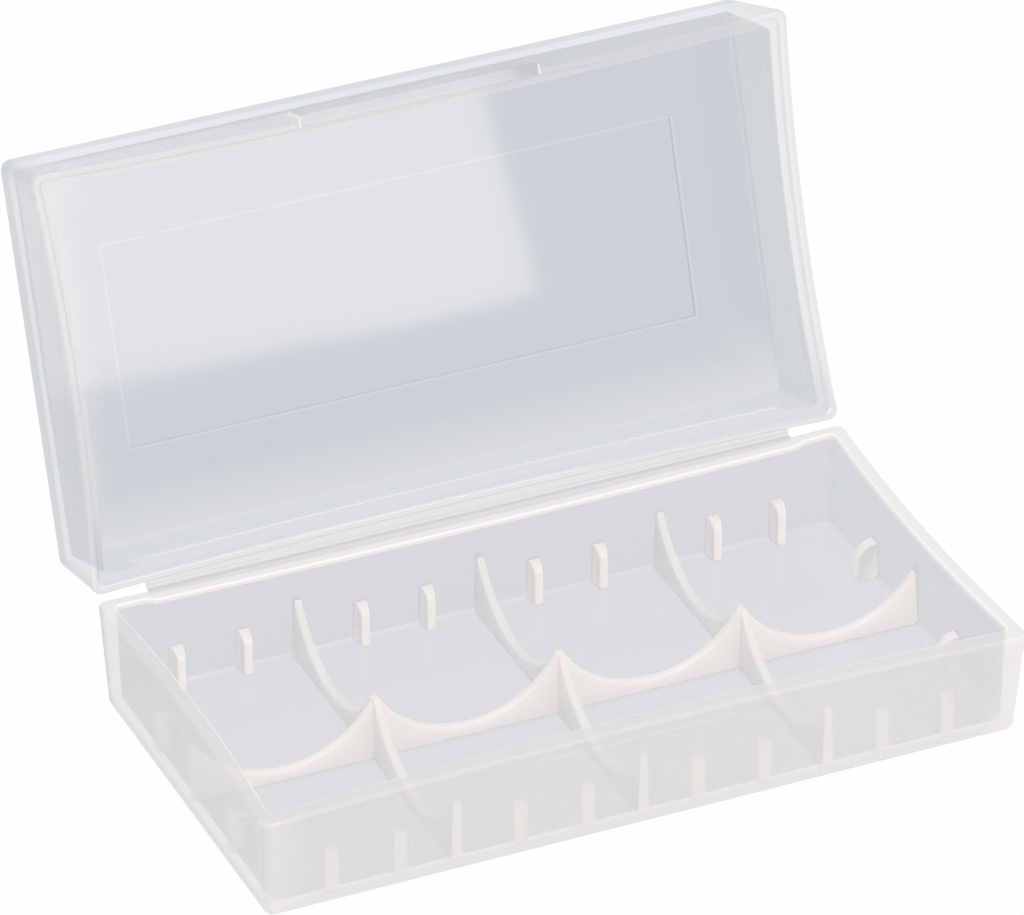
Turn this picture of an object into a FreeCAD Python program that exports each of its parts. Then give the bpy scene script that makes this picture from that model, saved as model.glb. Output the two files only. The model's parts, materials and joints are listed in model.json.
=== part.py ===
import FreeCAD, Part
import math
import os

# Pocket storage box for small round cells, moulded in one piece from clear polypropylene:
# a ribbed tray, a lid of the same size, and a living hinge that joins them along the back.
# Two long cells lie lengthways over the dividers, or four short cells lie across them,
# one in each bay. Millimetres: +X along the box, +Y towards the hinge, +Z up.
# The origin is the middle of the tray's base. The lid is modelled shut, over the tray,
# and is then turned about the crease of the hinge to the angle at which it stands open.

Vector = FreeCAD.Vector

# Outline of the tray's base and of the lid's top, which are straight-sided
base_length = 76.2
base_width = 39.6
lid_front_step = 0.5
corner_radius = 1.4
edge_round = 0.7
edge_steps = 3
floor_steps = 1

# Outline of the two rims, whose corners flare out and whose long sides are drawn in
side_flare = 0.6
front_flare = 0.95
back_flare = 0.35
side_bow = 0.75
back_bow = 0.55
tray_front_bow = 1.2
lid_front_bow = 0.6

# Shells
shell_height = 11.0
rim_gap = 0.1
floor_thickness = 0.8
panel_thickness = 0.9
wall = 1.0
rim_wall = 1.4
front_rim_wall = 1.75
back_rim_wall = 1.25
rim_round = 0.2
inner_corner_radius = 0.8
floor_round = 0.4

# Ribs of the tray, scalloped to the cells that lie on them
divider_pitch = 18.85
divider_foot = 1.0
divider_top = 0.75
rib_height = 6.3
scallop_radius = 10.4
scallop_rise = 1.0
row_offset = 9.65
outer_bay_offset = 28.1

# Fins that stand against the walls and keep the ends of the cells off them
fin_thickness = 1.1
fin_reach = 1.45
fin_straight = 3.1
fin_height = 4.3
fin_half_spacing = 3.4
inner_fin_pair = 9.0
outer_fin_pair = 27.85
side_fin_offset = 9.0
side_fin_reach = 2.2
side_fin_straight = 1.5
side_fin_height = 3.9

# Latch: a bead on the tray's front wall, and a tab on the lid that drops over it
bead_length = 18.0
bead_drop = 1.5
bead_radius = 0.45
bead_reach = 0.25
tab_length = 24.8
tab_reach = 1.1
tab_rise = 1.2
tab_drop = 1.7
tab_clearance = 0.45
tab_round = 0.6

# Living hinge: a thin flange on each shell and a film that bends between them
hinge_length = 66.6
hinge_setback = 0.7
flange_thickness = 0.4
flange_gap = 0.1
film_thickness = 0.25
hinge_pad = 0.5
hinge_pad_height = 3.0
hinge_pad_run = 0.8
window_length = 4.2
window_depth = 0.2
window_offset = 19.6
lid_open_angle = 108.6

# Lid: step inside its rim, shallow field for a label, and low ribs inside its end walls
lip_wall = 0.9
lip_step = 0.6
lid_rim_wall = 1.6
label_length = 59.4
label_width = 20.2
label_depth = 0.25
label_radius = 0.6
grip_length = 6.5
grip_offset = 12.7
grip_depth = 2.4
grip_radius = 0.3

# Places that follow from these sizes
half_length = base_length / 2
half_width = base_width / 2
overlap = wall / 2
rim_half_length = half_length + side_flare
rim_front = -half_width - front_flare
rim_back = half_width + back_flare
closed_height = 2 * shell_height + rim_gap
lid_rim = shell_height + rim_gap
lid_front = -half_width - lid_front_step
tray_base = (half_length, -half_width, half_width, (0, 0, 0))
tray_rim = (rim_half_length, rim_front, rim_back, (side_bow, tray_front_bow, back_bow))
lid_top = (half_length, lid_front, half_width, (0, 0, 0))
lid_mouth = (rim_half_length, rim_front, rim_back, (side_bow, lid_front_bow, back_bow))
axis_y = rim_back + hinge_setback - back_flare
axis_z = shell_height + rim_gap / 2
scallop_axis = floor_thickness + scallop_rise + scallop_radius
rib_top = floor_thickness + rib_height


def side(start, end, bow):
    """One side of an outline: straight, or an arc through a point bowed in by the vector."""
    if bow.Length < 1e-6:
        return Part.LineSegment(start, end)
    return Part.Arc(start, (start + end) / 2 + bow, end)


def corner(start, middle, radius, angle):
    """Quarter round from a start point about a middle; the angle is that of its centre line."""
    turn = math.radians(angle)
    through = middle + Vector(math.cos(turn), math.sin(turn), 0) * radius
    end = middle + (start - middle).cross(Vector(0, 0, -1))
    return Part.Arc(start, through, end)


def outline(form, z, radius, inset=0):
    """Closed outline at a height. The form holds the half length, the front and back edges,
    and how far the two ends, the front and the back bow inwards."""
    half, front, back, (end_bow, front_bow, rear_bow) = form
    half, front, back = half - inset, front + inset, back - inset
    left, right = -half + radius, half - radius
    near, far = front + radius, back - radius
    edges = [
        side(Vector(left, front, z), Vector(right, front, z), Vector(0, front_bow, 0)),
        corner(Vector(right, front, z), Vector(right, near, z), radius, -45),
        side(Vector(half, near, z), Vector(half, far, z), Vector(-end_bow, 0, 0)),
        corner(Vector(half, far, z), Vector(right, far, z), radius, 45),
        side(Vector(right, back, z), Vector(left, back, z), Vector(0, -rear_bow, 0)),
        corner(Vector(left, back, z), Vector(left, far, z), radius, 135),
        side(Vector(-half, far, z), Vector(-half, near, z), Vector(end_bow, 0, 0)),
        corner(Vector(-half, near, z), Vector(left, near, z), radius, 225),
    ]
    return Part.Wire([edge.toShape() for edge in edges])


def loft(*wires):
    return Part.makeLoft(list(wires), True, True)


def block(x0, x1, y0, y1, z0, z1):
    return Part.makeBox(x1 - x0, y1 - y0, z1 - z0, Vector(x0, y0, z0))


def plate(points, direction):
    """A polygon drawn through the points and pushed along the direction."""
    return Part.Face(Part.makePolygon(points + points[:1])).extrude(direction)


def moulded(base, rim, z_base, z_rim, radius, foot_round, steps, mouth_round):
    """Drafted solid from a base outline to a rim outline. Its edge at the base is rounded in
    a few steps, and the last of its height is eased inwards, or outwards if negative."""
    up = 1 if z_rim > z_base else -1
    wires = []
    for step in range(steps + 1):
        turn = math.pi / 2 * step / steps
        inset = foot_round * (1 - math.sin(turn))
        rise = foot_round * (1 - math.cos(turn))
        wires.append(outline(base, z_base + up * rise, radius - inset, inset))
    if mouth_round:
        wires.append(outline(rim, z_rim - up * abs(mouth_round), radius))
    wires.append(outline(rim, z_rim, radius - mouth_round, mouth_round))
    return loft(*wires)


def inner(form, ends, front, back):
    """The form set in by a wall of its own at the ends, the front and the back."""
    half, near, far, bows = form
    return (half - ends, near + front, far - back, bows)


def tray_shell():
    """Outer and inner walls of the tray, with the rim's edges softened."""
    outer = moulded(tray_base, tray_rim, 0, shell_height, corner_radius,
                    edge_round, edge_steps, rim_round)
    cavity = moulded(
        inner(tray_base, wall, wall, wall),
        inner(tray_rim, rim_wall, front_rim_wall, back_rim_wall),
        floor_thickness, shell_height, inner_corner_radius, floor_round, floor_steps, -rim_round,
    )
    return outer.cut(cavity)


def rib_bar(length, along_x):
    """Bar of a rib before it is scalloped: drafted from its foot to its top."""
    foot, top = divider_foot / 2, divider_top / 2
    low, high = floor_thickness / 2, rib_top
    section = [(-foot, low), (foot, low), (top, high), (-top, high)]
    if along_x:
        points = [Vector(-length / 2, a, z) for a, z in section]
        return plate(points, Vector(length, 0, 0))
    points = [Vector(a, -length / 2, z) for a, z in section]
    return plate(points, Vector(0, length, 0))


def cell_space(centre, along_x):
    """The round space of a cell, as a cylinder right across the box."""
    reach = base_length
    if along_x:
        start, direction = Vector(-reach, centre, scallop_axis), Vector(1, 0, 0)
    else:
        start, direction = Vector(centre, -reach, scallop_axis), Vector(0, 1, 0)
    return Part.makeCylinder(scallop_radius, 2 * reach, start, direction)


def cross_rib():
    """Rib along the box that parts the two rows, hollowed where a short cell lies across it."""
    bar = rib_bar(base_length - 2 * overlap, True)
    for bay in (-outer_bay_offset, -divider_pitch / 2, divider_pitch / 2, outer_bay_offset):
        bar = bar.cut(cell_space(bay, False))
    return bar


def dividers():
    """Three ribs across the box, hollowed where a long cell lies over them in each row."""
    bar = rib_bar(base_width - 2 * overlap, False)
    for row in (-row_offset, row_offset):
        bar = bar.cut(cell_space(row, True))
    return [bar.translated(Vector(i * divider_pitch, 0, 0)) for i in (-1, 0, 1)]


def fin(reach, straight, height):
    """Fin against a wall: upright front edge, then a curve back to the wall."""
    base = floor_thickness
    tip = Vector(reach, 0, base + straight)
    top = Vector(0, 0, base + height)
    shoulder = Vector(0.68 * reach, 0, base + straight + 0.66 * (height - straight))
    root = -overlap
    edges = [
        Part.LineSegment(Vector(root, 0, base / 2), Vector(reach, 0, base / 2)),
        Part.LineSegment(Vector(reach, 0, base / 2), tip),
        Part.Arc(tip, shoulder, top),
        Part.LineSegment(top, Vector(root, 0, base + height)),
        Part.LineSegment(Vector(root, 0, base + height), Vector(root, 0, base / 2)),
    ]
    face = Part.Face(Part.Wire([edge.toShape() for edge in edges]))
    return face.extrude(Vector(0, fin_thickness, 0)).translated(Vector(0, -fin_thickness / 2, 0))


def wall_fins():
    """A pair of fins in every bay on both long walls, and one for each row on the end walls."""
    fins = []
    long_fin = fin(fin_reach, fin_straight, fin_height)
    for turn, wall_y in ((-90, half_width - wall), (90, wall - half_width)):
        turned = long_fin.copy()
        turned.rotate(Vector(), Vector(0, 0, 1), turn)
        for pair in (-outer_fin_pair, -inner_fin_pair, inner_fin_pair, outer_fin_pair):
            for offset in (-fin_half_spacing, fin_half_spacing):
                fins.append(turned.translated(Vector(pair + offset, wall_y, 0)))
    end_fin = fin(side_fin_reach, side_fin_straight, side_fin_height)
    for turn, wall_x in ((0, wall - half_length), (180, half_length - wall)):
        turned = end_fin.copy()
        turned.rotate(Vector(), Vector(0, 0, 1), turn)
        for row in (-side_fin_offset, side_fin_offset):
            fins.append(turned.translated(Vector(wall_x, row, 0)))
    return fins


def front_bead():
    """Latch bead on the tray's front wall: a round bar, most of it sunk in the wall."""
    z = shell_height - bead_drop
    sag = tray_front_bow * z / shell_height
    wall_y = -half_width - front_flare * z / shell_height + sag
    middle = wall_y - bead_reach + bead_radius
    return Part.makeCylinder(bead_radius, bead_length, Vector(-bead_length / 2, middle, z),
                             Vector(1, 0, 0))


def hinge_pad_solid(rim_y, z_rim, up):
    """Thickening inside the back wall along the hinge, fading out away from the rim.
    The sign up is -1 where the shell lies below its rim and 1 where it lies above."""
    half = hinge_length / 2
    z_far = z_rim + up * hinge_pad_height
    inner = rim_y - hinge_pad
    root = rim_y + overlap
    near = [Vector(-half - hinge_pad_run, rim_y, z_rim), Vector(-half, inner, z_rim),
            Vector(half, inner, z_rim), Vector(half + hinge_pad_run, rim_y, z_rim),
            Vector(half, root, z_rim), Vector(-half, root, z_rim)]
    far = [Vector(p.x, max(p.y, rim_y), z_far) for p in near]
    far[1].y = rim_y - 0.02
    far[2].y = rim_y - 0.02
    return Part.makeLoft([Part.makePolygon(near + near[:1]), Part.makePolygon(far + far[:1])],
                         True, True)


def flange(z0, z1):
    """Thin strip from inside the back wall to the edge of the hinge film."""
    half = hinge_length / 2
    root = rim_back - back_bow - back_rim_wall / 2
    return block(-half, half, root, axis_y - flange_gap, z0, z1)


def tray():
    shell = tray_shell()
    pad_y = rim_back - back_bow - back_rim_wall
    strip_top = axis_z - flange_gap
    parts = [cross_rib()] + dividers() + wall_fins()
    parts.append(front_bead())
    parts.append(hinge_pad_solid(pad_y, shell_height, -1))
    parts.append(flange(strip_top - flange_thickness, strip_top))
    return shell.fuse(parts).removeSplitter()


def lid_shell():
    """Outer and inner walls of the lid, shut, with the step inside its rim."""
    outer = moulded(lid_top, lid_mouth, closed_height, lid_rim, corner_radius,
                    edge_round, edge_steps, rim_round)
    cavity = moulded(
        inner(lid_top, wall, wall, wall),
        inner(lid_mouth, lid_rim_wall, lid_rim_wall, lid_rim_wall),
        closed_height - panel_thickness, lid_rim, inner_corner_radius,
        floor_round, floor_steps, 0,
    )
    lip = inner(lid_mouth, lip_wall, lip_wall, lip_wall)
    lip_radius = corner_radius - lip_wall / 2
    step = loft(
        outline(lip, lid_rim + lip_step, lip_radius),
        outline(lip, lid_rim + rim_round, lip_radius),
        outline(lip, lid_rim, lip_radius + rim_round, -rim_round),
    )
    return outer.cut([cavity, step])


def label_field():
    """Shallow field on top of the lid, where a label would go."""
    middle = (lid_front + half_width) / 2
    form = (label_length / 2, middle - label_width / 2, middle + label_width / 2, (0, 0, 0))
    face = Part.Face(outline(form, closed_height - label_depth, label_radius))
    return face.extrude(Vector(0, 0, 2 * label_depth))


def latch_tab():
    """Finger tab in the middle of the lid's front, hanging over the tray's bead."""
    inner = rim_front + lid_front_bow + lip_wall
    outer = rim_front + lid_front_bow - tab_reach
    half = tab_length / 2
    low, high = lid_rim - tab_drop, lid_rim + tab_rise
    body = block(-half, half, outer, inner, low, high)
    uprights = [e for e in body.Edges if e.BoundBox.ZLength > 1
                and abs(e.BoundBox.YMin - outer) < 1e-4]
    body = body.makeFillet(tab_round, uprights)
    behind = -half_width - front_flare + tray_front_bow - tab_clearance
    clearance = block(-half, half, behind, inner + 1, low - 1, lid_rim)
    return body.cut(clearance)


def end_grips():
    """Low upright-sided ribs inside the lid's two end walls."""
    z = lid_rim + grip_depth
    grips = []
    for end in (-1, 1):
        x = end * (rim_half_length - side_bow * 0.9 - lid_rim_wall + grip_radius / 3)
        for y in (-grip_offset, grip_offset):
            start = Vector(x, y - grip_length / 2, z)
            grips.append(Part.makeCylinder(grip_radius, grip_length, start, Vector(0, 1, 0)))
    return grips


def hinge_windows():
    """Two shallow pockets in the lid's flange."""
    strip_low = axis_z + flange_gap
    pockets = []
    for x in (-window_offset, window_offset):
        pockets.append(block(x - window_length / 2, x + window_length / 2,
                             rim_back - back_bow + 0.1, axis_y,
                             strip_low - 1, strip_low + window_depth))
    return pockets


def lid_shut():
    pad_y = rim_back - back_bow - lid_rim_wall
    strip_low = axis_z + flange_gap
    parts = [latch_tab(), hinge_pad_solid(pad_y, lid_rim + lip_step, 1),
             flange(strip_low, strip_low + flange_thickness)] + end_grips()
    body = lid_shell().fuse(parts)
    return body.cut([label_field()] + hinge_windows()).removeSplitter()


def open_lid(shape):
    """Turn a shut shape about the crease to the angle at which the lid stands."""
    shape.rotate(Vector(0, axis_y, axis_z), Vector(1, 0, 0), -lid_open_angle)
    return shape


def hinge_film():
    """The bent film: a ring sector that leaves one flange squarely and meets the other."""
    bend = math.radians(180 - lid_open_angle)
    drop = flange_gap + flange_thickness / 2
    start = Vector(-hinge_length / 2, axis_y - flange_gap, axis_z - drop)
    # the two mid-planes meet where both tangents are as long as each other
    tangent = flange_gap + drop * math.tan(bend / 2)
    radius = tangent / math.tan(bend / 2)
    centre = start + Vector(0, 0, radius)

    def at(r, angle):
        return centre + Vector(0, math.sin(angle), -math.cos(angle)) * r

    inside, outside = radius - film_thickness / 2, radius + film_thickness / 2
    edges = [
        Part.LineSegment(at(inside, 0), at(outside, 0)),
        Part.Arc(at(outside, 0), at(outside, bend / 2), at(outside, bend)),
        Part.LineSegment(at(outside, bend), at(inside, bend)),
        Part.Arc(at(inside, bend), at(inside, bend / 2), at(inside, 0)),
    ]
    face = Part.Face(Part.Wire([edge.toShape() for edge in edges]))
    return face.extrude(Vector(hinge_length, 0, 0))


def main():
    os.makedirs("parts", exist_ok=True)
    pieces = {"tray": tray(), "lid": open_lid(lid_shut()), "hinge_web": hinge_film()}
    for name, shape in pieces.items():
        solids = shape.Solids
        shape = solids[0] if len(solids) == 1 else shape
        print(name, "solids", len(solids), "valid", shape.isValid(),
              "volume", round(shape.Volume, 1), "box", shape.BoundBox)
        shape.exportStep(f"parts/{name}.step")


main()
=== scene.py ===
# %% [markdown]
# Battery storage box: a small flat box for round cells, moulded in one shot from natural
# polypropylene. The tray, the lid and the film that joins them are the same translucent plastic,
# so the whole lesson is about one material: thin walls that let a pale light through, and thick
# sections, such as rims and ribs, that look milky because light has further to go in them.
# The construction comes in as a fixed frame. Here its two shells get soft moulded edges and the
# finish, and the hinge film is made as a bent strip.

# %% Load the frame
import json
import math

import bpy
import numpy as np
from mathutils import Matrix, Vector


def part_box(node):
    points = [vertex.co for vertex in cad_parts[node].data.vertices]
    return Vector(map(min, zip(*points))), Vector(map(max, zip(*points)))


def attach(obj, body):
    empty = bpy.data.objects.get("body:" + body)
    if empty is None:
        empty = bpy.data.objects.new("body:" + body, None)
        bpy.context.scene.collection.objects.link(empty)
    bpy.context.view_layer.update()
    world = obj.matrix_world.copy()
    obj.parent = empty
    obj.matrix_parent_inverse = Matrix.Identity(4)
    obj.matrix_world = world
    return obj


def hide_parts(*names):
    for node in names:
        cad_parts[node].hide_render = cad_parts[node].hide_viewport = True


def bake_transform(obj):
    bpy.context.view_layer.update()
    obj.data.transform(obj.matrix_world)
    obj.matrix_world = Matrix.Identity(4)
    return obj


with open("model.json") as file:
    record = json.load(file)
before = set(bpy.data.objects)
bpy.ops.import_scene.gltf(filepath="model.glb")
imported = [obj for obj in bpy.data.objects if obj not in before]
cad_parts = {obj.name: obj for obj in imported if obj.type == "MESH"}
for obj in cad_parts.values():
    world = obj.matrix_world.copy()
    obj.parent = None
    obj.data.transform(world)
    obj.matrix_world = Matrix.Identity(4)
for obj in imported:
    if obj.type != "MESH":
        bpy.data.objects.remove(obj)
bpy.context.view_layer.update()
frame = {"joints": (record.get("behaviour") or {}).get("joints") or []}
MM = 0.001
hinge = frame["joints"][0]
crease = Vector(hinge["pos_m"])
open_angle = -math.radians(hinge["range_deg"][0])
print("lid stands open at", round(math.degrees(open_angle), 1), "degrees")

# %% [markdown]
# The camera stands well back with a long lens, so that the box keeps its near-parallel edges.
# It looks down at it from the front left. The frame is 1024 by 915.

# %% Camera
lens_mm = 345.5
sensor_mm = 36.0
camera_place = Vector((-0.31384, -0.70461, 0.51193))
camera_aim = Vector((0.00115, 0.01358, 0.02058))
camera_roll = math.radians(0.285)
nearest_m, farthest_m = 0.01, 20.0


def add_camera():
    """Camera at its place, turned so that its own -Z meets the aim, then rolled about it."""
    data = bpy.data.cameras.new("studio_camera")
    data.lens = lens_mm
    data.sensor_width = sensor_mm
    data.sensor_fit = "HORIZONTAL"
    data.clip_start = nearest_m
    data.clip_end = farthest_m
    camera = bpy.data.objects.new("studio_camera", data)
    bpy.context.scene.collection.objects.link(camera)
    look = (camera_aim - camera_place).to_track_quat("-Z", "Y").to_matrix().to_4x4()
    roll = Matrix.Rotation(-camera_roll, 4, "Z")
    camera.matrix_world = Matrix.Translation(camera_place) @ look @ roll
    bpy.context.scene.camera = camera
    return camera


add_camera()

# %% [markdown]
# A colour is written as the sRGB hex value that the eye sees, and one function turns it to the
# linear numbers that a shader wants. Another adds a node with its settings and links, so that
# each material below reads as a short list of what it is made of.

# %% Colour and node helpers


def linear(hex_colour):
    """Linear RGBA of an sRGB hex colour: the power curve of sRGB with its straight foot."""
    parts = [int(hex_colour[i:i + 2], 16) / 255 for i in (1, 3, 5)]
    return [c / 12.92 if c <= 0.04045 else ((c + 0.055) / 1.055) ** 2.4 for c in parts] + [1.0]


def add_node(tree, kind, settings=None, **links):
    """Adds a node. A link's value is an output socket, and any other value is set on the input.
    An input named with underscores stands for the socket with spaces, and in_ with a number
    for the socket in that place."""
    node = tree.nodes.new(kind)
    for name, value in (settings or {}).items():
        setattr(node, name, value)
    for name, value in links.items():
        place = int(name[3:]) if name.startswith("in_") else name.replace("_", " ")
        socket = node.inputs[place]
        if isinstance(value, bpy.types.NodeSocket):
            tree.links.new(value, socket)
        else:
            socket.default_value = value
    return node


def new_material(name):
    """An empty node material and its output node."""
    material = bpy.data.materials.new(name)
    material.use_nodes = True
    material.node_tree.nodes.clear()
    return material, material.node_tree.nodes.new("ShaderNodeOutputMaterial")


# %% [markdown]
# Natural polypropylene is colourless but not clear: its crystals scatter a little light all the
# way through. A wall of 1 mm shows the white behind it as a cool pale grey. A rim, seen down its
# whole depth, or a rib, is nearly white and a touch warm. Each point carries how milky it looks,
# from 0 to 1, and the material mixes its two looks by that. A second number, its depth, says how
# much more of the view is hidden where the eye looks along a wall, as at edges and corners. Walls
# are glossy, as polished steel leaves them, with a slight waviness from shrinkage. Rims and ribs
# are duller, as the narrow parts of a mould are hard to polish.
# A wall has two faces but dims what stands behind it once, so only the face where a ray enters
# counts, and a face where it leaves shows only in thick sections. Most light that a wall scatters
# still goes forward, so lamps and bounced light come through better than a clear view does.

# %% Natural polypropylene, injection moulded
shrink_wave_mm, shrink_rise_mm, shrink_share = 14.0, 0.3, 0.05
plastic_ior, specular_level = 1.49, 0.65
hiding_from, exit_from = 0.6, 0.7
dull_from, dull_to, dull_roughness = 0.45, 0.6, 0.3
thick_exit = 0.3
stopped_light = 0.1


def polypropylene(name, cool, warm, solid, milky_solid, roughness):
    """Natural polypropylene: cool and clear where thin, warm and milky where thick. The shares
    solid and milky_solid are of the view that a face hides. Of the light that isn't seen
    directly, a face stops stopped_light of that share. The specular level is above the 0.5 of
    one face, because a wall mirrors at both of its faces. The names that end in from give the
    milkiness at which something starts."""
    material, output = new_material(name)
    tree = material.node_tree
    place = add_node(tree, "ShaderNodeTexCoord").outputs["Object"]
    milk = add_node(tree, "ShaderNodeAttribute", {"attribute_name": "milkiness"}).outputs["Fac"]
    deep = add_node(tree, "ShaderNodeAttribute", {"attribute_name": "depth"}).outputs["Fac"]
    flow = add_node(tree, "ShaderNodeTexNoise", Vector=place, Scale=1 / (shrink_wave_mm * MM),
                    Detail=0.0).outputs["Fac"]
    tint = add_node(tree, "ShaderNodeMix", {"data_type": "RGBA"}, in_0=milk,
                    in_6=linear(cool), in_7=linear(warm)).outputs[2]
    milky = add_node(tree, "ShaderNodeMapRange", Value=milk, From_Min=hiding_from).outputs["Result"]
    thick = add_node(tree, "ShaderNodeMath", {"operation": "MAXIMUM"}, in_0=milky, in_1=deep).outputs[0]
    entry = add_node(tree, "ShaderNodeMapRange", Value=thick,
                     To_Min=solid, To_Max=milky_solid).outputs["Result"]
    way_out = add_node(tree, "ShaderNodeMapRange", Value=milk,
                       From_Min=exit_from, To_Max=thick_exit).outputs["Result"]
    leaving = add_node(tree, "ShaderNodeNewGeometry").outputs["Backfacing"]
    face = add_node(tree, "ShaderNodeMix", in_0=leaving, in_2=entry, in_3=way_out).outputs[0]
    path = add_node(tree, "ShaderNodeLightPath").outputs
    spread = add_node(tree, "ShaderNodeMath", {"operation": "MAXIMUM"}, in_0=path["Is Shadow Ray"],
                      in_1=path["Is Diffuse Ray"]).outputs[0]
    kept = add_node(tree, "ShaderNodeMapRange", Value=spread,
                    To_Min=1.0, To_Max=stopped_light).outputs["Result"]
    alpha = add_node(tree, "ShaderNodeMath", {"operation": "MULTIPLY"}, in_0=face, in_1=kept).outputs[0]
    dull = add_node(tree, "ShaderNodeMapRange", Value=milk, From_Min=dull_from, From_Max=dull_to,
                    To_Min=roughness, To_Max=dull_roughness).outputs["Result"]
    wave = add_node(tree, "ShaderNodeBump", Height=flow, Strength=shrink_share,
                    Distance=shrink_rise_mm * MM).outputs["Normal"]
    shader = add_node(tree, "ShaderNodeBsdfPrincipled", Base_Color=tint, Roughness=dull,
                      IOR=plastic_ior, Specular_IOR_Level=specular_level, Alpha=alpha, Normal=wave)
    tree.links.new(shader.outputs[0], output.inputs["Surface"])
    return material


shell_plastic = polypropylene("polypropylene_natural_moulded", cool="#7B8FA6", warm="#FDF8F4",
                              solid=0.55, milky_solid=0.75, roughness=0.035)

# %% [markdown]
# The frame's meshes are loose triangles with knife edges, and through a translucent wall every one
# of them would show. So the shells are made again as smooth surfaces, to the same sizes. A shell
# is one profile: it starts in the middle of the base, goes round the edge, up the outside, over
# the rim, down the inside and ends in the middle of the floor. At each step of that profile
# stands an outline of the box, whose sides may bow inwards. The tray's base and rim and the lid's
# top and mouth are forms: half the length, the front, the back, and how far the ends, the front
# and the back are drawn in.

# %% Sizes of the moulding, in millimetres
base_half, base_depth_half = 38.1, 19.8
shell_height, rim_gap = 11.0, 0.1
corner_radius, inner_corner_radius = 1.0, 0.6
edge_round, rim_round, floor_round = 0.7, 0.2, 0.4
wall, floor_thickness, panel_thickness = 1.0, 0.8, 0.9
closed_height = 2 * shell_height + rim_gap
rim_z = closed_height - shell_height
tray_base = (base_half, -base_depth_half, base_depth_half, (0.0, 0.0, 0.0))
tray_rim = (38.7, -20.75, 20.15, (0.75, 1.2, 0.55))
tray_rim_walls = (1.4, 1.75, 1.25)
rim_straight_half = 37.3
lid_top = (base_half, -20.3, base_depth_half, (0.0, 0.0, 0.0))
lid_mouth = (38.7, -20.75, 20.15, (0.75, 0.6, 0.55))
hinge_half, pad_run, pad_depth, pad_height = 33.3, 0.8, 0.5, 3.0
bead_half, bead_z, bead_radius, bead_reach = 9.0, shell_height - 1.5, 0.45, 0.25
grip_middle, grip_half, grip_radius, grip_reach, grip_drop = 12.7, 3.25, 0.8, 0.08, 2.4
tray_low, tray_high = (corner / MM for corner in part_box("tray"))
print("tray in the frame, mm:", [round(v, 2) for v in tray_low], [round(v, 2) for v in tray_high])

# %% [markdown]
# From above the box is a rectangle with small round corners, but its rims aren't straight: each
# side is drawn in at its middle, as a thin wall is when it shrinks. An outline is four bowed
# sides and four quarter circles. It always has as many points, in the same order, so that any
# outline can be joined to the next. What stands out of a wall, such as the pad behind the hinge
# or the latch bead, is a bulge of one side.

# %% Outlines
long_points, end_points, corner_points = 30, 30, 6


def long_side(reach):
    """Places along a long side from -reach to reach. The ramps of the hinge pad get points of
    their own where the side is long enough to have them."""
    ramps = np.array([hinge_half, hinge_half + pad_run])
    if reach < ramps[1]:
        ramps = ramps * reach / (ramps[1] + 1)
    middle = np.linspace(-ramps[0], ramps[0], long_points)
    return np.concatenate([[-reach, -ramps[1]], middle, [ramps[1], reach]])


def quarter(centre, radius, start):
    """Points of a quarter circle about a centre, without its ends."""
    turn = np.radians(start + np.linspace(0, 90, corner_points + 2)[1:-1])
    return np.stack([centre[0] + radius * np.cos(turn), centre[1] + radius * np.sin(turn)], 1)


def outline(form, radius, inset=0.0, pad=0.0, bulge=0.0, grip=0.0):
    """Closed outline, anticlockwise from the front left. Each side stands in from its chord by
    bow * (1 - u * u), u being -1 to 1 along it, and each corner is a quarter circle. A pad
    thickens the back side inwards over the hinge, and ramps out beside it. A bulge stands out
    from the middle of the front side, over the length of the latch bead, and a grip stands in
    from two places of each end."""
    half, front, back, (end_bow, front_bow, rear_bow) = form
    half, front, back = half - inset, front + inset, back - inset
    right, near, far = half - radius, front + radius, back - radius
    xs = long_side(right)
    ramp = np.clip((hinge_half + pad_run - abs(xs)) / pad_run, 0, 1)
    across = rear_bow * (1 - (xs / right) ** 2) + pad * ramp
    ys = np.linspace(near, far, end_points)
    inwards = end_bow * (1 - np.linspace(-1, 1, end_points) ** 2)
    inwards = inwards + grip * (abs(abs(ys) - grip_middle) < grip_half)
    return np.concatenate([
        np.stack([xs, front + front_bow * (1 - (xs / right) ** 2) - bulge * (abs(xs) < bead_half)], 1),
        quarter((right, near), radius, -90),
        np.stack([half - inwards, ys], 1),
        quarter((right, far), radius, 0),
        np.stack([xs, back - across], 1)[::-1],
        quarter((-right, far), radius, 90),
        np.stack([inwards - half, ys], 1)[::-1],
        quarter((-right, near), radius, 180),
    ])


def at_corners():
    """1 at the points of an outline's four corners and at the ends of its sides, else 0."""
    sides = [np.r_[1, np.zeros(count - 2), 1] for count in (long_points + 4, end_points)]
    corner = np.ones(corner_points)
    return np.tile(np.concatenate([sides[0], corner, sides[1], corner]), 2)


def inner(form, ends, front, back):
    """The form set in by a wall of its own at the ends, the front and the back."""
    half, near, far, bows = form
    return (half - ends, near + front, far - back, bows)


def between(low, high, share):
    """The form that lies a share of the way from one form to another."""
    mixed = [a + (b - a) * share for a, b in zip(low[:3], high[:3])]
    return (*mixed, tuple(a + (b - a) * share for a, b in zip(low[3], high[3])))
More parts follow.
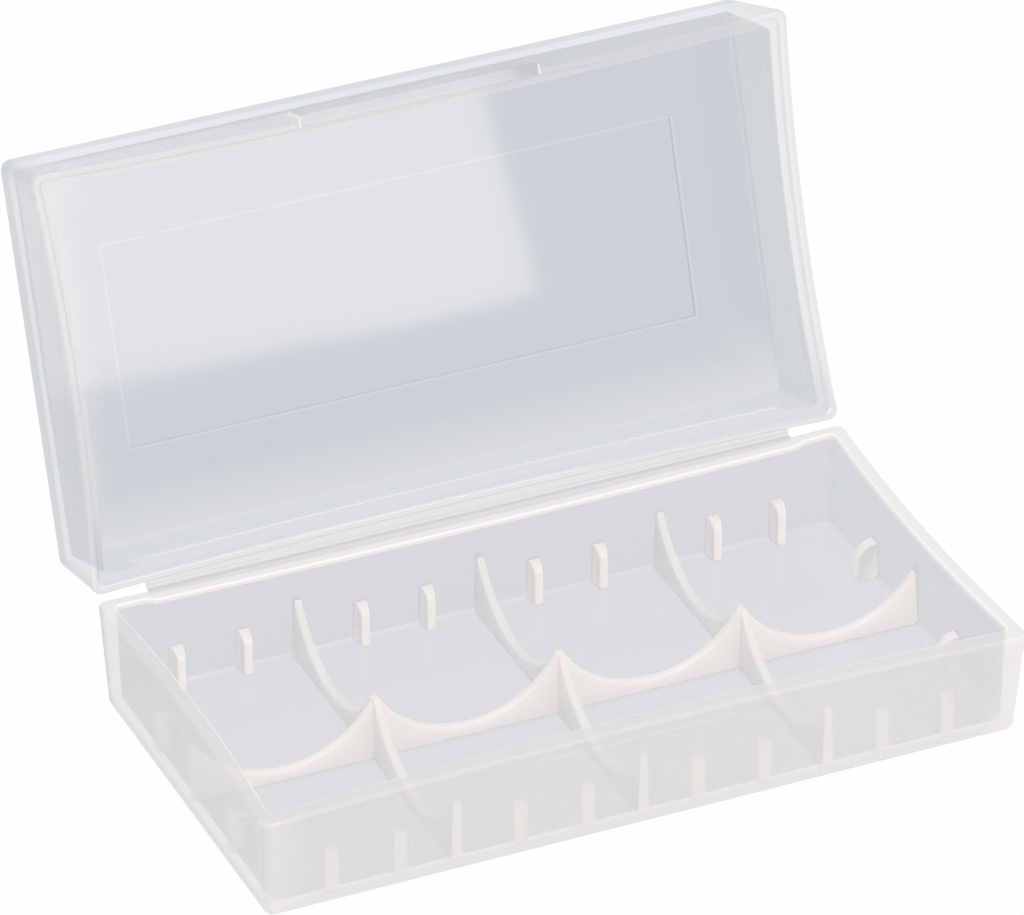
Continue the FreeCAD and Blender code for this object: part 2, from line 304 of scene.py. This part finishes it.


# %% [markdown]
# A mould maker draws a shell by its section: a rounded foot, a wall with draft, a rounded rim,
# the inside of the wall and a round into the floor. The profile here is that section as a list
# of steps, each with an outline, a height and the milkiness there, which is one number or one for
# each point. Where a step has a pair, it is milkiness and depth. These values are matched,
# since they stand for the way that light takes through the wall.

# %% Profile of a shell
rounding = np.linspace(0, math.pi / 2, 6)
easing = np.linspace(0, math.pi / 2, 4)
wall_shares = (0.0, 0.06, 0.1, 0.19, 0.24, 0.5, 0.7, 0.96)
low_wall_shares = (0.66, 0.33, 0.0)
mouth_band = (0.2, 0.25)
rim_line_width = 0.3
tray_foot, lid_foot = 1.4, 2.7
tray_milk = {"outside": 0.64, "inside": 0.3, "edge": (0.63, 1.0), "rim": 0.76, "line": 1.0, "middle": 0.42}
lid_milk = {"outside": 0.42, "inside": 0.2, "edge": (0.28, 0.65), "rim": 0.57, "middle": 0.07}
# The tray's front corners get painted light and its rear corners painted shade, as a change of milkiness.
painted_light_front_corner_milk, painted_shade_rear_corner_milk, corner_start = 0.1, -0.32, 0.3


def outer_profile(base, rim, foot, milk, bulges=()):
    """Outline, height and milkiness from the base's rounded edge up to the top of the rim. The
    edge's milkiness goes on up to the foot's height. A bulge is a height and how far the middle
    of the front stands out there."""
    steps = []
    for turn in rounding[:-1]:
        inset = edge_round * (1 - math.sin(turn))
        height = edge_round * (1 - math.cos(turn))
        steps.append((outline(base, corner_radius - inset, inset), height, milk["edge"]))
    rise = shell_height - rim_round - edge_round
    levels = [(edge_round + rise * share, 0.0) for share in wall_shares] + list(bulges)
    for height, reach in sorted(levels):
        share = (height - edge_round) / rise
        shade = milk["edge" if height < foot else "outside"]
        steps.append((outline(between(base, rim, share), corner_radius, bulge=reach), height, shade))
    for turn in easing:
        inset = rim_round * (1 - math.cos(turn))
        steps.append((outline(rim, corner_radius - inset, inset),
                      shell_height - rim_round * (1 - math.sin(turn)), milk["rim"]))
    return steps


def inner_profile(base, rim, floor, mouth_depth, pad_start, milk, grips=()):
    """From the top of the inner wall down to the floor's rounded edge. The wall starts at
    mouth_depth under the rim, where a rounded mouth or a step has led to it."""
    steps = []
    top, bottom = shell_height - mouth_depth, floor + floor_round
    low = pad_start - pad_height
    levels = [(pad_start - below, 0.0) for below in mouth_band] + [(low, 0.0)]
    levels += [(bottom + (low - bottom) * share, 0.0) for share in low_wall_shares] + list(grips)
    for height, reach in [(top, 0.0), (pad_start, 0.0)] + sorted(levels, reverse=True):
        share = (height - bottom) / (shell_height - rim_round - bottom)
        pad = pad_depth * min(1.0, max(0.0, (height - low) / pad_height))
        shade = milk["rim" if height >= pad_start else "inside"]
        ring = outline(between(base, rim, share), inner_corner_radius, 0.0, pad, grip=reach)
        steps.append((ring, height, shade))
    for turn in rounding[1:]:
        inset = floor_round * (1 - math.cos(turn))
        steps.append((outline(base, inner_corner_radius - inset, inset),
                      bottom - floor_round * math.sin(turn), milk["middle"]))
    return steps


def tray_profile():
    """The tray: the rim's inner edge is rounded like its outer one, and looks like a pale line."""
    rim_inside = inner(tray_rim, *tray_rim_walls)
    turns = np.radians(np.linspace(-90, 90, 7))
    bulges = [(bead_z + bead_radius * math.sin(t), bead_reach * math.cos(t)) for t in turns]
    steps = outer_profile(tray_base, tray_rim, tray_foot, tray_milk, bulges)
    line_side = outline(rim_inside, inner_corner_radius + rim_line_width, -rim_line_width, pad_depth)
    steps.append((line_side, shell_height, tray_milk["rim"]))
    for turn in easing[::-1][:-1]:
        inset = -rim_round * (1 - math.cos(turn))
        steps.append((outline(rim_inside, inner_corner_radius - inset, inset, pad_depth),
                      shell_height - rim_round * (1 - math.sin(turn)), tray_milk["line"]))
    return steps + inner_profile(inner(tray_base, wall, wall, wall), rim_inside, floor_thickness,
                                 rim_round, shell_height - 2 * rim_round, tray_milk)


# %% [markdown]
# The lid is made in the same way, from its outer face inwards. Its rim has a step inside, and its
# outer face has a shallow field where a label would go. The field's edge is seen through the
# panel as a pale line. The panel gets painted light, a milkier band, beside the hinge and at its
# left end, and the rim gets painted shade, a clearer band, along the hinge.

# %% Profile of the lid
lip_wall, lip_step, rim_wall = 0.9, 0.6, 1.6
label_half, label_reach, label_depth, label_corner = 29.7, 10.1, 0.25, 0.3
label_line_milk, label_line_width, label_line_fade = 0.19, 0.12, 0.1
top_border, top_border_radius = 1.2, 0.7
# The panel gets painted light in a band border_width wide along the hinge and at its left end, and the rim
# painted shade along the hinge.
border_width, painted_light_border_milk, painted_shade_hinge_rim_milk = 6.0, 0.3, 0.38
hinge_side_start, hinge_side_run = 12.0, 6.0
left_end_start, left_end_run = 30.0, 7.0


def at_hinge(ring):
    """1 for the points of an outline along the hinge, 0 for those in front, eased between."""
    return np.clip((ring[:, 1] - hinge_side_start) / hinge_side_run, 0, 1)


def at_painted_light_border(ring):
    """Mask of the panel's painted light: 1 along the hinge and at the left end, 0 elsewhere."""
    left = np.clip((-ring[:, 0] - left_end_start) / left_end_run, 0, 1)
    return np.maximum(left, at_hinge(ring))


def lid_profile():
    """The lid, from the label field in its outer face round to the middle of the panel. The line
    that shows the field's edge is a milky band on the panel's inner face."""
    middle = (lid_top[1] + lid_top[2]) / 2
    label = (label_half, middle - label_reach, middle + label_reach, (0.0, 0.0, 0.0))
    field, panel = outline(label, label_corner), lid_milk["middle"]
    steps = [(field, label_depth, panel), (field, 0.0, panel)]
    steps.append((outline(lid_top, top_border_radius, top_border), 0.0, panel))
    grips = [(shell_height - grip_drop + grip_radius * t, grip_reach * math.cos(math.pi * t / 2) ** 2)
             for t in np.linspace(-1, 1, 7)]
    steps += outer_profile(lid_top, lid_mouth, lid_foot, lid_milk)
    lip = inner(lid_mouth, lip_wall, lip_wall, lip_wall)
    lip_start = len(steps)
    lip_radius = corner_radius - lip_wall / 2
    for turn in easing[::-1]:
        inset = -rim_round * (1 - math.cos(turn))
        height = shell_height - rim_round * (1 - math.sin(turn))
        steps.append((outline(lip, lip_radius - inset, inset), height, lid_milk["rim"]))
    steps.append((outline(lip, lip_radius), shell_height - lip_step, lid_milk["rim"]))
    inside = inner(lid_top, wall, wall, wall)
    steps += inner_profile(inside, inner(lid_mouth, rim_wall, rim_wall, rim_wall),
                           panel_thickness, lip_step, shell_height - lip_step - rim_round, lid_milk, grips)
    # Painted shade on the rim along the hinge, painted light on the panel by the hinge and at its left
    # end.
    for i in range(lip_start, len(steps)):
        ring, height, shade = steps[i]
        if shade == lid_milk["rim"]:
            shade = shade + (painted_shade_hinge_rim_milk - shade) * at_hinge(ring)
        elif shade == panel:
            shade = shade + painted_light_border_milk * at_painted_light_border(ring)
        steps[i] = (ring, height, shade)
    # The panel's painted light fades to nothing at this ring, border_width in from the wall.
    steps.append((outline(inside, inner_corner_radius, border_width), panel_thickness, panel))
    line_insets = (-label_line_fade, 0.0, label_line_width, label_line_width + label_line_fade)
    for inset, shade in zip(line_insets, (panel, label_line_milk, label_line_milk, panel)):
        steps.append((outline(label, label_corner, inset), panel_thickness, shade))
    return steps


# %% [markdown]
# Every piece becomes a mesh in the same way. Rings of equally many points follow each other, each
# pair is joined by a band of quads, and the first and last rings are closed by a cap. A lid piece
# is worked out with the lid shut and then turned about the crease to where it stands open.

# %% From rings to a mesh
edge_radius = 0.12 * MM
sharp_angle = math.radians(38)


def opened(points):
    """Points of the shut lid, turned back about the crease by the angle at which it stands:
    y' = cy + dy cos a + dz sin a, z' = cz - dy sin a + dz cos a."""
    c, s = math.cos(open_angle), math.sin(open_angle)
    dy, dz = points[..., 1] - crease.y / MM, points[..., 2] - crease.z / MM
    return np.stack([points[..., 0], crease.y / MM + dy * c + dz * s, crease.z / MM - dy * s + dz * c], -1)


def ring_faces(rings, count, flip):
    """Bands of quads between rings of count points, and a cap on the first and the last."""
    i, j = np.meshgrid(np.arange(rings - 1), np.arange(count), indexing="ij")
    k = (j + 1) % count
    quads = np.stack([i * count + j, i * count + k, (i + 1) * count + k, (i + 1) * count + j], -1)
    caps = [list(range(count))[::-1], list(range((rings - 1) * count, rings * count))]
    faces = quads.reshape(-1, 4).tolist() + caps
    return [face[::-1] for face in faces] if flip else faces


def make_piece(name, solids, body, bevel=False):
    """One object from solids, each a (rings, points, 3) array in millimetres, a flip mark, its
    milkiness and, for a shell, its depth. These are numbers or fit (rings, points)."""
    points, faces, shades, depths, start = [], [], [], [], 0
    for rings, flip, milk, *depth in solids:
        depth = depth[0] if depth else 0.0
        rings = opened(rings) if body == "lid" else rings
        points.append(rings.reshape(-1, 3) * MM)
        faces += [[v + start for v in face] for face in ring_faces(rings.shape[0], rings.shape[1], flip)]
        shades.append(np.broadcast_to(np.asarray(milk, np.float32), rings.shape[:2]).ravel())
        depths.append(np.broadcast_to(np.asarray(depth, np.float32), rings.shape[:2]).ravel())
        start += rings.shape[0] * rings.shape[1]
    mesh = bpy.data.meshes.new(name)
    mesh.from_pydata(np.concatenate(points).tolist(), [], faces)
    mesh.shade_smooth()
    mesh.set_sharp_from_angle(angle=sharp_angle)
    mesh.attributes.new("milkiness", "FLOAT", "POINT").data.foreach_set("value", np.concatenate(shades))
    mesh.attributes.new("depth", "FLOAT", "POINT").data.foreach_set("value", np.concatenate(depths))
    mesh.materials.append(shell_plastic)
    piece = bpy.data.objects.new(name, mesh)
    bpy.context.scene.collection.objects.link(piece)
    if bevel:
        rounded = piece.modifiers.new("moulded_edges", "BEVEL")
        rounded.width = edge_radius
        rounded.segments = 2
        rounded.limit_method = "ANGLE"
        rounded.angle_limit = sharp_angle
    piece.modifiers.new("flat_faces_flat", "WEIGHTED_NORMAL").keep_sharp = True
    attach(piece, body)
    print(name, "points", len(mesh.vertices), "faces", len(faces))
    return piece


def make_shell(name, profile, body):
    """A shell from its profile. The lid's heights count down from its outer face. The upright
    corners of the outside are deep. The tray's get painted light in front and painted shade at the back."""
    outlines = np.stack([ring for ring, _, _ in profile])
    heights = np.array([height for _, height, _ in profile])
    zs = closed_height - heights if body == "lid" else heights
    rings = np.concatenate([outlines, np.broadcast_to(zs[:, None, None], (*outlines.shape[:2], 1))], -1)
    shades = [value if isinstance(value, tuple) else (value, 0.0) for _, _, value in profile]
    milk = np.array([np.broadcast_to(value, rings.shape[1]) for value, _ in shades])
    deep = np.array([value for _, value in shades])[:, None]
    outside = (np.arange(len(heights)) < heights.argmax()) & (heights > corner_start)
    corners = outside[:, None] * at_corners()
    if body == "tray":
        # Painted light on the tray's front corners, painted shade on its rear ones.
        milk = milk + corners * np.where(rings[:, :, 1] < 0, painted_light_front_corner_milk, painted_shade_rear_corner_milk)
    piece = make_piece(name, [(rings, body == "lid", milk, np.maximum(deep, corners))], body)
    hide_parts(body)
    return piece


tray_shell = make_shell("tray_shell", tray_profile(), "tray")
lid_shell = make_shell("lid_shell", lid_profile(), "lid")

# %% [markdown]
# Three dividers cross the tray, and one rib runs along its middle. Each is a thin drafted bar, and
# its top is hollowed in arcs for the cells: long cells lie over the dividers, and short cells over
# the rib. Its height is a formula of the place along it, and a section with eased top corners is
# carried along. The feet and ends are sunk a little into the walls, as they are one moulding.

# %% Scalloped ribs
divider_pitch = 18.85
scallop_radius, scallop_lift, rib_height = 10.4, 1.0, 6.3
scallop_axis = floor_thickness + scallop_lift + scallop_radius
rib_top = floor_thickness + rib_height
rib_foot, rib_tip = 1.0, 0.75
rib_sink = 0.25
rib_ease = 0.15
rib_step = 0.35
edge_band, least_face = 0.35, 0.1
foot_fade, band_gain = 0.12, 0.08


def scalloped(along, middles):
    """Height of a rib's top: the rib's own height, or lower where a cell's circle dips in,
    z = axis - sqrt(R * R - (s - middle) ** 2)."""
    top = np.full(along.shape, rib_top)
    for middle in middles:
        reach = scallop_radius ** 2 - (along - middle) ** 2
        arc = scallop_axis - np.sqrt(np.clip(reach, 0, None))
        top = np.where(reach > 0, np.minimum(top, arc), top)
    return top


def rib(length, middles, across_x, face_milk):
    """Sections from one end of a rib to the other: on each side a point at the foot, one where
    the edge band starts and three of a small quarter round. The half width shrinks with height,
    as drafted. The faces have face_milk, their foot less, the edge band more, and the ends are
    fully milky."""
    cuts = np.linspace(-length / 2 + edge_band, length / 2 - edge_band, int(length / rib_step))
    along = np.concatenate([[-length / 2], cuts, [length / 2]])
    top = scalloped(along, middles)
    low = floor_thickness - rib_sink

    def half(z):
        share = (z - floor_thickness) / (rib_top - floor_thickness)
        return (rib_foot + (rib_tip - rib_foot) * share) / 2

    turns = np.radians([0, 45, 90])
    band = np.maximum(top - edge_band, low + least_face)[:, None]
    side = np.stack([half(top) - rib_ease * (1 - math.cos(t)) for t in turns], 1)
    level = np.stack([top - rib_ease * (1 - math.sin(t)) for t in turns], 1)
    foot = np.full((len(along), 1), half(low))
    ground = np.full((len(along), 1), low)
    width = np.concatenate([-foot, foot, half(band), side, -side[:, ::-1], -half(band)], 1)
    height = np.concatenate([ground, ground, band, level, level[:, ::-1], band], 1)
    places = np.broadcast_to(along[:, None], width.shape)
    milk = np.full(width.shape, face_milk)
    milk[:, [0, 1]] = face_milk - foot_fade
    milk[:, 3:9] = min(1.0, face_milk + band_gain)
    milk[[0, -1]] = 1.0
    if across_x:
        return np.stack([width, places, height], -1), milk
    return np.stack([places, width, height], -1), milk


row_offset, outer_bay = 9.65, 28.1
divider_face_milk, spine_face_milk = 0.82, 0.94
divider_length, spine_length = (2 * (half - wall + rib_sink) for half in (base_depth_half, base_half))
divider, divider_milk = rib(divider_length, (-row_offset, row_offset), True, divider_face_milk)
ribs = [(divider + [i * divider_pitch, 0, 0], True, divider_milk) for i in (-1, 0, 1)]
bays = (-outer_bay, -divider_pitch / 2, divider_pitch / 2, outer_bay)
spine, spine_milk = rib(spine_length, bays, False, spine_face_milk)
make_piece("tray_ribs", ribs + [(spine, False, spine_milk)], "tray")

# %% [markdown]
# Small fins stand against the walls, two in each bay, and keep the cells' ends and sides off them.
# A fin has an upright front edge and then curves back to the wall.

# %% Fins
fin_root_half, fin_tip_half = 0.65, 0.42
fin_band, fin_band_limit = 0.28, 0.6
fin_fullness = 0.8
root_milk = 0.95


def fin(reach, straight, height, face_milk):
    """Four rings: each side face as a smaller and a full ring, so that a milky band runs along
    its edge. Seen from the side the fin starts sunk in the wall, runs out along the floor, goes
    up and curves back: the curve is a quarter of an oval about (0, straight), out by
    reach * cos(t) ** fullness and up by (height - straight) * sin(t). The fin is thinner at its
    tip than at the wall."""
    turns = np.linspace(0, math.pi / 2, 8)[1:]
    curve = reach * np.cos(turns) ** fin_fullness
    rise = straight + (height - straight) * np.sin(turns)
    out = np.concatenate([[-rib_sink, reach, reach], curve, [-rib_sink]])
    up = np.concatenate([[-rib_sink, -rib_sink, straight], rise, [height]])
    face = np.stack([out, np.zeros_like(out), floor_thickness + up], 1)
    middle = np.array([(reach - rib_sink) / 2, 0, floor_thickness + height / 2])
    away = middle - face
    smaller = face + np.sign(away) * np.minimum(fin_band, abs(away) * fin_band_limit)
    offsets = [np.stack([0 * x, fin_root_half + (fin_tip_half - fin_root_half) * x / reach, 0 * x], 1)
               for x in (face[:, 0], smaller[:, 0])]
    milk = np.broadcast_to(np.array([face_milk, 1.0, 1.0, face_milk])[:, None], (4, len(face))).copy()
    milk[:, [0, -1]] = root_milk
    rings = [smaller + offsets[1], face + offsets[0], face - offsets[0], smaller - offsets[1]]
    return np.stack(rings), milk


def stood(rings, turn, x, y):
    """Rings turned about the vertical by a number of quarter turns and moved to a place."""
    c, s = round(math.cos(math.radians(turn))), round(math.sin(math.radians(turn)))
    px, py = rings[..., 0], rings[..., 1]
    return np.stack([px * c - py * s + x, px * s + py * c + y, rings[..., 2]], -1)


pair_middles, pair_half, end_fin_places = (-27.85, -9.0, 9.0, 27.85), 3.4, (-9.0, 9.0)
wall_fin, wall_fin_milk = fin(reach=1.45, straight=3.1, height=4.3, face_milk=0.8)
end_fin, end_fin_milk = fin(reach=2.2, straight=1.5, height=3.9, face_milk=0.62)
places = [middle + offset for middle in pair_middles for offset in (-pair_half, pair_half)]
fins = [(stood(wall_fin, turn, x, y), False, wall_fin_milk)
        for turn, y in ((-90, base_depth_half - wall), (90, wall - base_depth_half)) for x in places]
fins += [(stood(end_fin, turn, x, y), False, end_fin_milk)
         for turn, x in ((0, wall - base_half), (180, base_half - wall)) for y in end_fin_places]
make_piece("tray_fins", fins, "tray", bevel=True)

# %% [markdown]
# The latch: the lid's tab drops over a low bead, which is a bulge of the tray's front wall. The
# low bars inside the lid's end walls are bulges of those walls in the same way.

# %% Latch tab
tab_half, tab_corner = 12.4, 0.6
tab_face_y, tab_inside_y = -21.25, -20.0
tab_hang, tab_root_height = 1.7, 1.2
tab_low, tab_high = rim_z - tab_hang, rim_z + tab_root_height
tab_sections, tab_sink = 12, 0.06
# The tab's rounded ends are milky, being thick seen end-on, and also carry a painted highlight.
tab_face_milk, tab_end_milk_and_glint = 0.32, 0.9


def tab_rings():
    """Sections of the tab from one end to the other. Each is a plate seen from the end, and its
    outer face stands back at the ends by a quarter round of the tab's plan. Its root follows the
    bowed rim, y = front + bow * (1 - u * u)."""
    straight = tab_half - tab_corner
    bend = np.radians([0, 22.5, 45, 67.5, 90])
    ends = straight + tab_corner * np.sin(bend)
    back = tab_corner * (1 - np.cos(bend))
    middle = np.linspace(-straight, straight, tab_sections)[1:-1]
    xs = np.concatenate([-ends[::-1], middle, ends])
    outer = tab_face_y + np.concatenate([back[::-1], np.zeros_like(middle), back])
    root = lid_mouth[1] + lid_mouth[3][1] * (1 - (xs / rim_straight_half) ** 2) + tab_sink
    inside = np.full_like(xs, tab_inside_y)
    ring = [(outer, tab_low), (inside, tab_low), (inside, rim_z), (root, rim_z), (root, tab_high),
            (outer, tab_high)]
    return np.stack([np.stack([xs, y, np.full_like(xs, z)], -1) for y, z in ring], 1)


tab = tab_rings()
tab_milk = np.full((len(tab), 1), tab_face_milk)
# Milky ends, partly thick section seen end-on and partly a painted highlight.
tab_milk[[0, 1, 2, -3, -2, -1]] = tab_end_milk_and_glint
make_piece("lid_latch_tab", [(tab, False, tab_milk)], "lid", bevel=True)

# %% [markdown]
# The living hinge: a thin flange on each shell, and between them a film a quarter of a millimetre
# thick that bends. The lid's flange has two shallow windows. The film leaves the tray's flange
# level, bends, and meets the lid's flange, and it belongs to neither body.

# %% Flanges
flange_thickness, flange_gap = 0.4, 0.1
crease_y, crease_z = crease.y / MM, crease.z / MM
flange_sections, flange_sink, flange_step = 24, 0.03, 0.15
window_places = ((-21.7, -17.5), (17.5, 21.7))
window_depth, window_side = 0.2, 0.03


def flange_rings(z_low, z_high, pocket):
    """Sections of a flange along the hinge: from the bowed wall to the film's edge. A pocket
    lifts the lower face of the sections that lie in a window."""
    xs = list(np.linspace(-hinge_half, hinge_half, flange_sections))
    if pocket:
        xs += [x + d for window in window_places for x in window for d in (-window_side, window_side)]
    xs = np.array(sorted(xs))
    in_window = np.zeros(len(xs), bool)
    for low, high in window_places:
        in_window |= (xs > low) & (xs < high)
    wall_y = tray_rim[2] - tray_rim[3][2] * (1 - (xs / rim_straight_half) ** 2) - flange_sink
    step_y = np.minimum(wall_y + flange_step, crease_y - flange_gap)
    edge_y = np.full_like(xs, crease_y - flange_gap)
    low_face = z_low + pocket * in_window
    level = np.full_like(xs, z_low)
    top = np.full_like(xs, z_high)
    ring = [(wall_y, level), (step_y, level), (step_y, low_face), (edge_y, low_face), (edge_y, top),
            (wall_y, top)]
    return np.stack([np.stack([xs, y, z], -1) for y, z in ring], 1)


film_milk = 0.5
tray_flange = flange_rings(crease_z - flange_gap - flange_thickness, crease_z - flange_gap, 0.0)
lid_flange = flange_rings(crease_z + flange_gap, crease_z + flange_gap + flange_thickness, window_depth)
make_piece("tray_hinge_flange", [(tray_flange, False, film_milk)], "tray")
make_piece("lid_hinge_flange", [(lid_flange, False, film_milk)], "lid")

# %% [markdown]
# The film is bent as in the photograph. Its middle line is one arc that leaves the tray's flange
# level and reaches the lid's flange, so its radius follows from the angle at which the lid stands.
# It joins two bodies and is parented to neither.

# %% Hinge film
film_thickness = 0.25
film_sections, film_turns = 24, 14
film_bend = math.pi - open_angle
film_drop = flange_gap + flange_thickness / 2
film_radius = (flange_gap + film_drop * math.tan(film_bend / 2)) / math.tan(film_bend / 2)
film_start = np.array([0, crease_y - flange_gap, crease_z - film_drop])


def film_rings():
    """Sections of the film along the hinge. Each is a ring sector: its middle line starts level,
    y = start + r sin(a), z = start + R - r cos(a), with r = R -/+ half of the thickness and a
    from 0 to 180 degrees less the open angle."""
    turns = np.linspace(0, film_bend, film_turns)
    inside, outside = film_radius - film_thickness / 2, film_radius + film_thickness / 2
    y = np.concatenate([inside * np.sin(turns), outside * np.sin(turns[::-1])])
    z = film_radius - np.concatenate([inside * np.cos(turns), outside * np.cos(turns[::-1])])
    xs = np.linspace(-hinge_half, hinge_half, film_sections)
    ring = np.stack([np.zeros_like(y), film_start[1] + y, film_start[2] + z], -1)
    return ring[None] + np.stack([xs, 0 * xs, 0 * xs], -1)[:, None]


def make_film():
    """The film is not parented to either body."""
    rings = film_rings()
    mesh = bpy.data.meshes.new("hinge_film")
    faces = ring_faces(rings.shape[0], rings.shape[1], True)
    mesh.from_pydata((rings.reshape(-1, 3) * MM).tolist(), [], faces)
    mesh.shade_smooth()
    mesh.set_sharp_from_angle(angle=sharp_angle)
    milk = mesh.attributes.new("milkiness", "FLOAT", "POINT")
    milk.data.foreach_set("value", [film_milk] * len(mesh.vertices))
    mesh.materials.append(shell_plastic)
    film = bpy.data.objects.new("hinge_film", mesh)
    bpy.context.scene.collection.objects.link(film)
    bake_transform(film)
    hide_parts("hinge_web")
    return film


make_film()

# %% [markdown]
# The studio: a pale floor that runs out of sight, a white surround, and soft light. One large
# softbox stands where the lid's panel mirrors it towards the camera, which puts the bright patch
# on the left of the panel. The floor's white is a colour seen by the camera and through the
# plastic, not more light on the box, and a share of plain paint under it keeps the box's shadow.

# %% Floor and surround
floor_size, floor_drop_mm = 6.0, 0.02
shown_white = 0.93
surround_light = 0.8


def seen_directly(tree):
    """1 for rays that come from the eye, off a glossy face or through the plastic."""
    path = add_node(tree, "ShaderNodeLightPath").outputs
    seen = add_node(tree, "ShaderNodeMath", {"operation": "MAXIMUM"}, in_0=path["Is Camera Ray"],
                    in_1=path["Is Glossy Ray"])
    return add_node(tree, "ShaderNodeMath", {"operation": "MAXIMUM"}, in_0=seen.outputs[0],
                    in_1=path["Is Transmission Ray"]).outputs[0]


def add_floor():
    """A square floor at the height of the tray's base."""
    material, output = new_material("floor_matt_white_paint")
    tree = material.node_tree
    paint = add_node(tree, "ShaderNodeBsdfDiffuse", Color=linear("#F4F4F4"))
    white = add_node(tree, "ShaderNodeEmission", Color=(1, 1, 1, 1), Strength=1.0)
    share = add_node(tree, "ShaderNodeMath", {"operation": "MULTIPLY"}, in_0=seen_directly(tree),
                     in_1=shown_white)
    mix = add_node(tree, "ShaderNodeMixShader", in_0=share.outputs[0], in_1=paint.outputs[0],
                   in_2=white.outputs[0])
    tree.links.new(mix.outputs[0], output.inputs["Surface"])
    half = floor_size / 2
    mesh = bpy.data.meshes.new("floor")
    corners = [(-half, -half, 0), (half, -half, 0), (half, half, 0), (-half, half, 0)]
    mesh.from_pydata(corners, [], [(0, 1, 2, 3)])
    mesh.materials.append(material)
    floor = bpy.data.objects.new("floor", mesh)
    bpy.context.scene.collection.objects.link(floor)
    floor.location.z = -floor_drop_mm * MM
    return floor


def add_surround(strength):
    """World: plain white where it is seen, and a gentler even light everywhere else. It is the
    same on all sides, so it isn't sampled as a lamp, which would only cost time."""
    world = bpy.data.worlds.new("studio_surround")
    bpy.context.scene.world = world
    world.use_nodes = True
    world.cycles.sampling_method = "NONE"
    tree = world.node_tree
    tree.nodes.clear()
    output = tree.nodes.new("ShaderNodeOutputWorld")
    light = add_node(tree, "ShaderNodeMapRange", Value=seen_directly(tree),
                     To_Min=strength, To_Max=1.0).outputs["Result"]
    background = add_node(tree, "ShaderNodeBackground", Color=(1, 1, 1, 1), Strength=light)
    tree.links.new(background.outputs[0], output.inputs["Surface"])


add_floor()
add_surround(surround_light)

# %% [markdown]
# The key light is found by working backwards. The patch's lower right corner is a place on the
# panel, and the mirror direction there leads to the softbox's corner. The softbox is tilted about
# its diagonal until the patch's edge slants as it does in the photograph. A second softbox, above
# the object, lights the walls and ribs evenly.

# %% Lights


def add_softbox(name, place, turn, size, power, colour):
    """A rectangular softbox at a place, which shines along its own -Z."""
    data = bpy.data.lights.new(name, "AREA")
    data.shape = "RECTANGLE"
    data.size, data.size_y = size
    data.energy = power
    data.color = colour
    lamp = bpy.data.objects.new(name, data)
    bpy.context.scene.collection.objects.link(lamp)
    lamp.matrix_world = Matrix.Translation(place) @ turn
    return lamp


def mirrored(point):
    """Direction in which a panel point mirrors the camera: d - 2 (d.n) n, n being the normal
    of the panel's inner face."""
    view = (point - camera_place).normalized()
    normal = Vector((0, -math.sin(open_angle), -math.cos(open_angle)))
    return view - 2 * view.dot(normal) * normal


def on_panel(x_mm, y_mm):
    """Point of the lid panel's inner face, given by its place with the lid shut."""
    shut = Vector((x_mm * MM, y_mm * MM, panel_height_mm * MM)) - crease
    return crease + Matrix.Rotation(-open_angle, 3, "X") @ shut


panel_height_mm = closed_height - panel_thickness
patch_corner_mm = (13.5, 4.0)
softbox_distance = 0.9
softbox_size = (0.36, 0.3)
softbox_tilt = math.radians(23)
softbox_diagonal = Vector((1, -1, 0))
key_power, key_colour = 1.9, (1.0, 0.87, 0.78)
top_place, top_aim = Vector((-0.2, 0.5, 1.0)), Vector((0, 0, 0.02))
top_size, top_power, top_colour = (0.6, 0.6), 1.6, (1.0, 1.0, 1.0)
corner_point = on_panel(*patch_corner_mm)
to_corner = mirrored(corner_point)
key_turn = (-to_corner).to_track_quat("-Z", "Y").to_matrix()
key_turn = key_turn @ Matrix.Rotation(softbox_tilt, 3, softbox_diagonal)
key_corner = Vector((softbox_size[0] / 2, -softbox_size[1] / 2, 0))
key_place = corner_point + to_corner * softbox_distance - key_turn @ key_corner
top_turn = (top_aim - top_place).to_track_quat("-Z", "Y").to_matrix()
print("key softbox at", tuple(round(v, 3) for v in key_place))
add_softbox("key_softbox", key_place, key_turn.to_4x4(), softbox_size, key_power, key_colour)
add_softbox("top_softbox", top_place, top_turn.to_4x4(), top_size, top_power, top_colour)

# %% [markdown]
# A view through the box crosses many thin faces, so the render follows light through up to 32 of
# them, while four bounces are enough in such a pale box.

# %% Finish
scene = bpy.context.scene
scene.view_settings.view_transform = "Standard"
scene.cycles.transparent_max_bounces = 32
scene.cycles.max_bounces = 4
scene.cycles.diffuse_bounces = 2
scene.cycles.glossy_bounces = 2
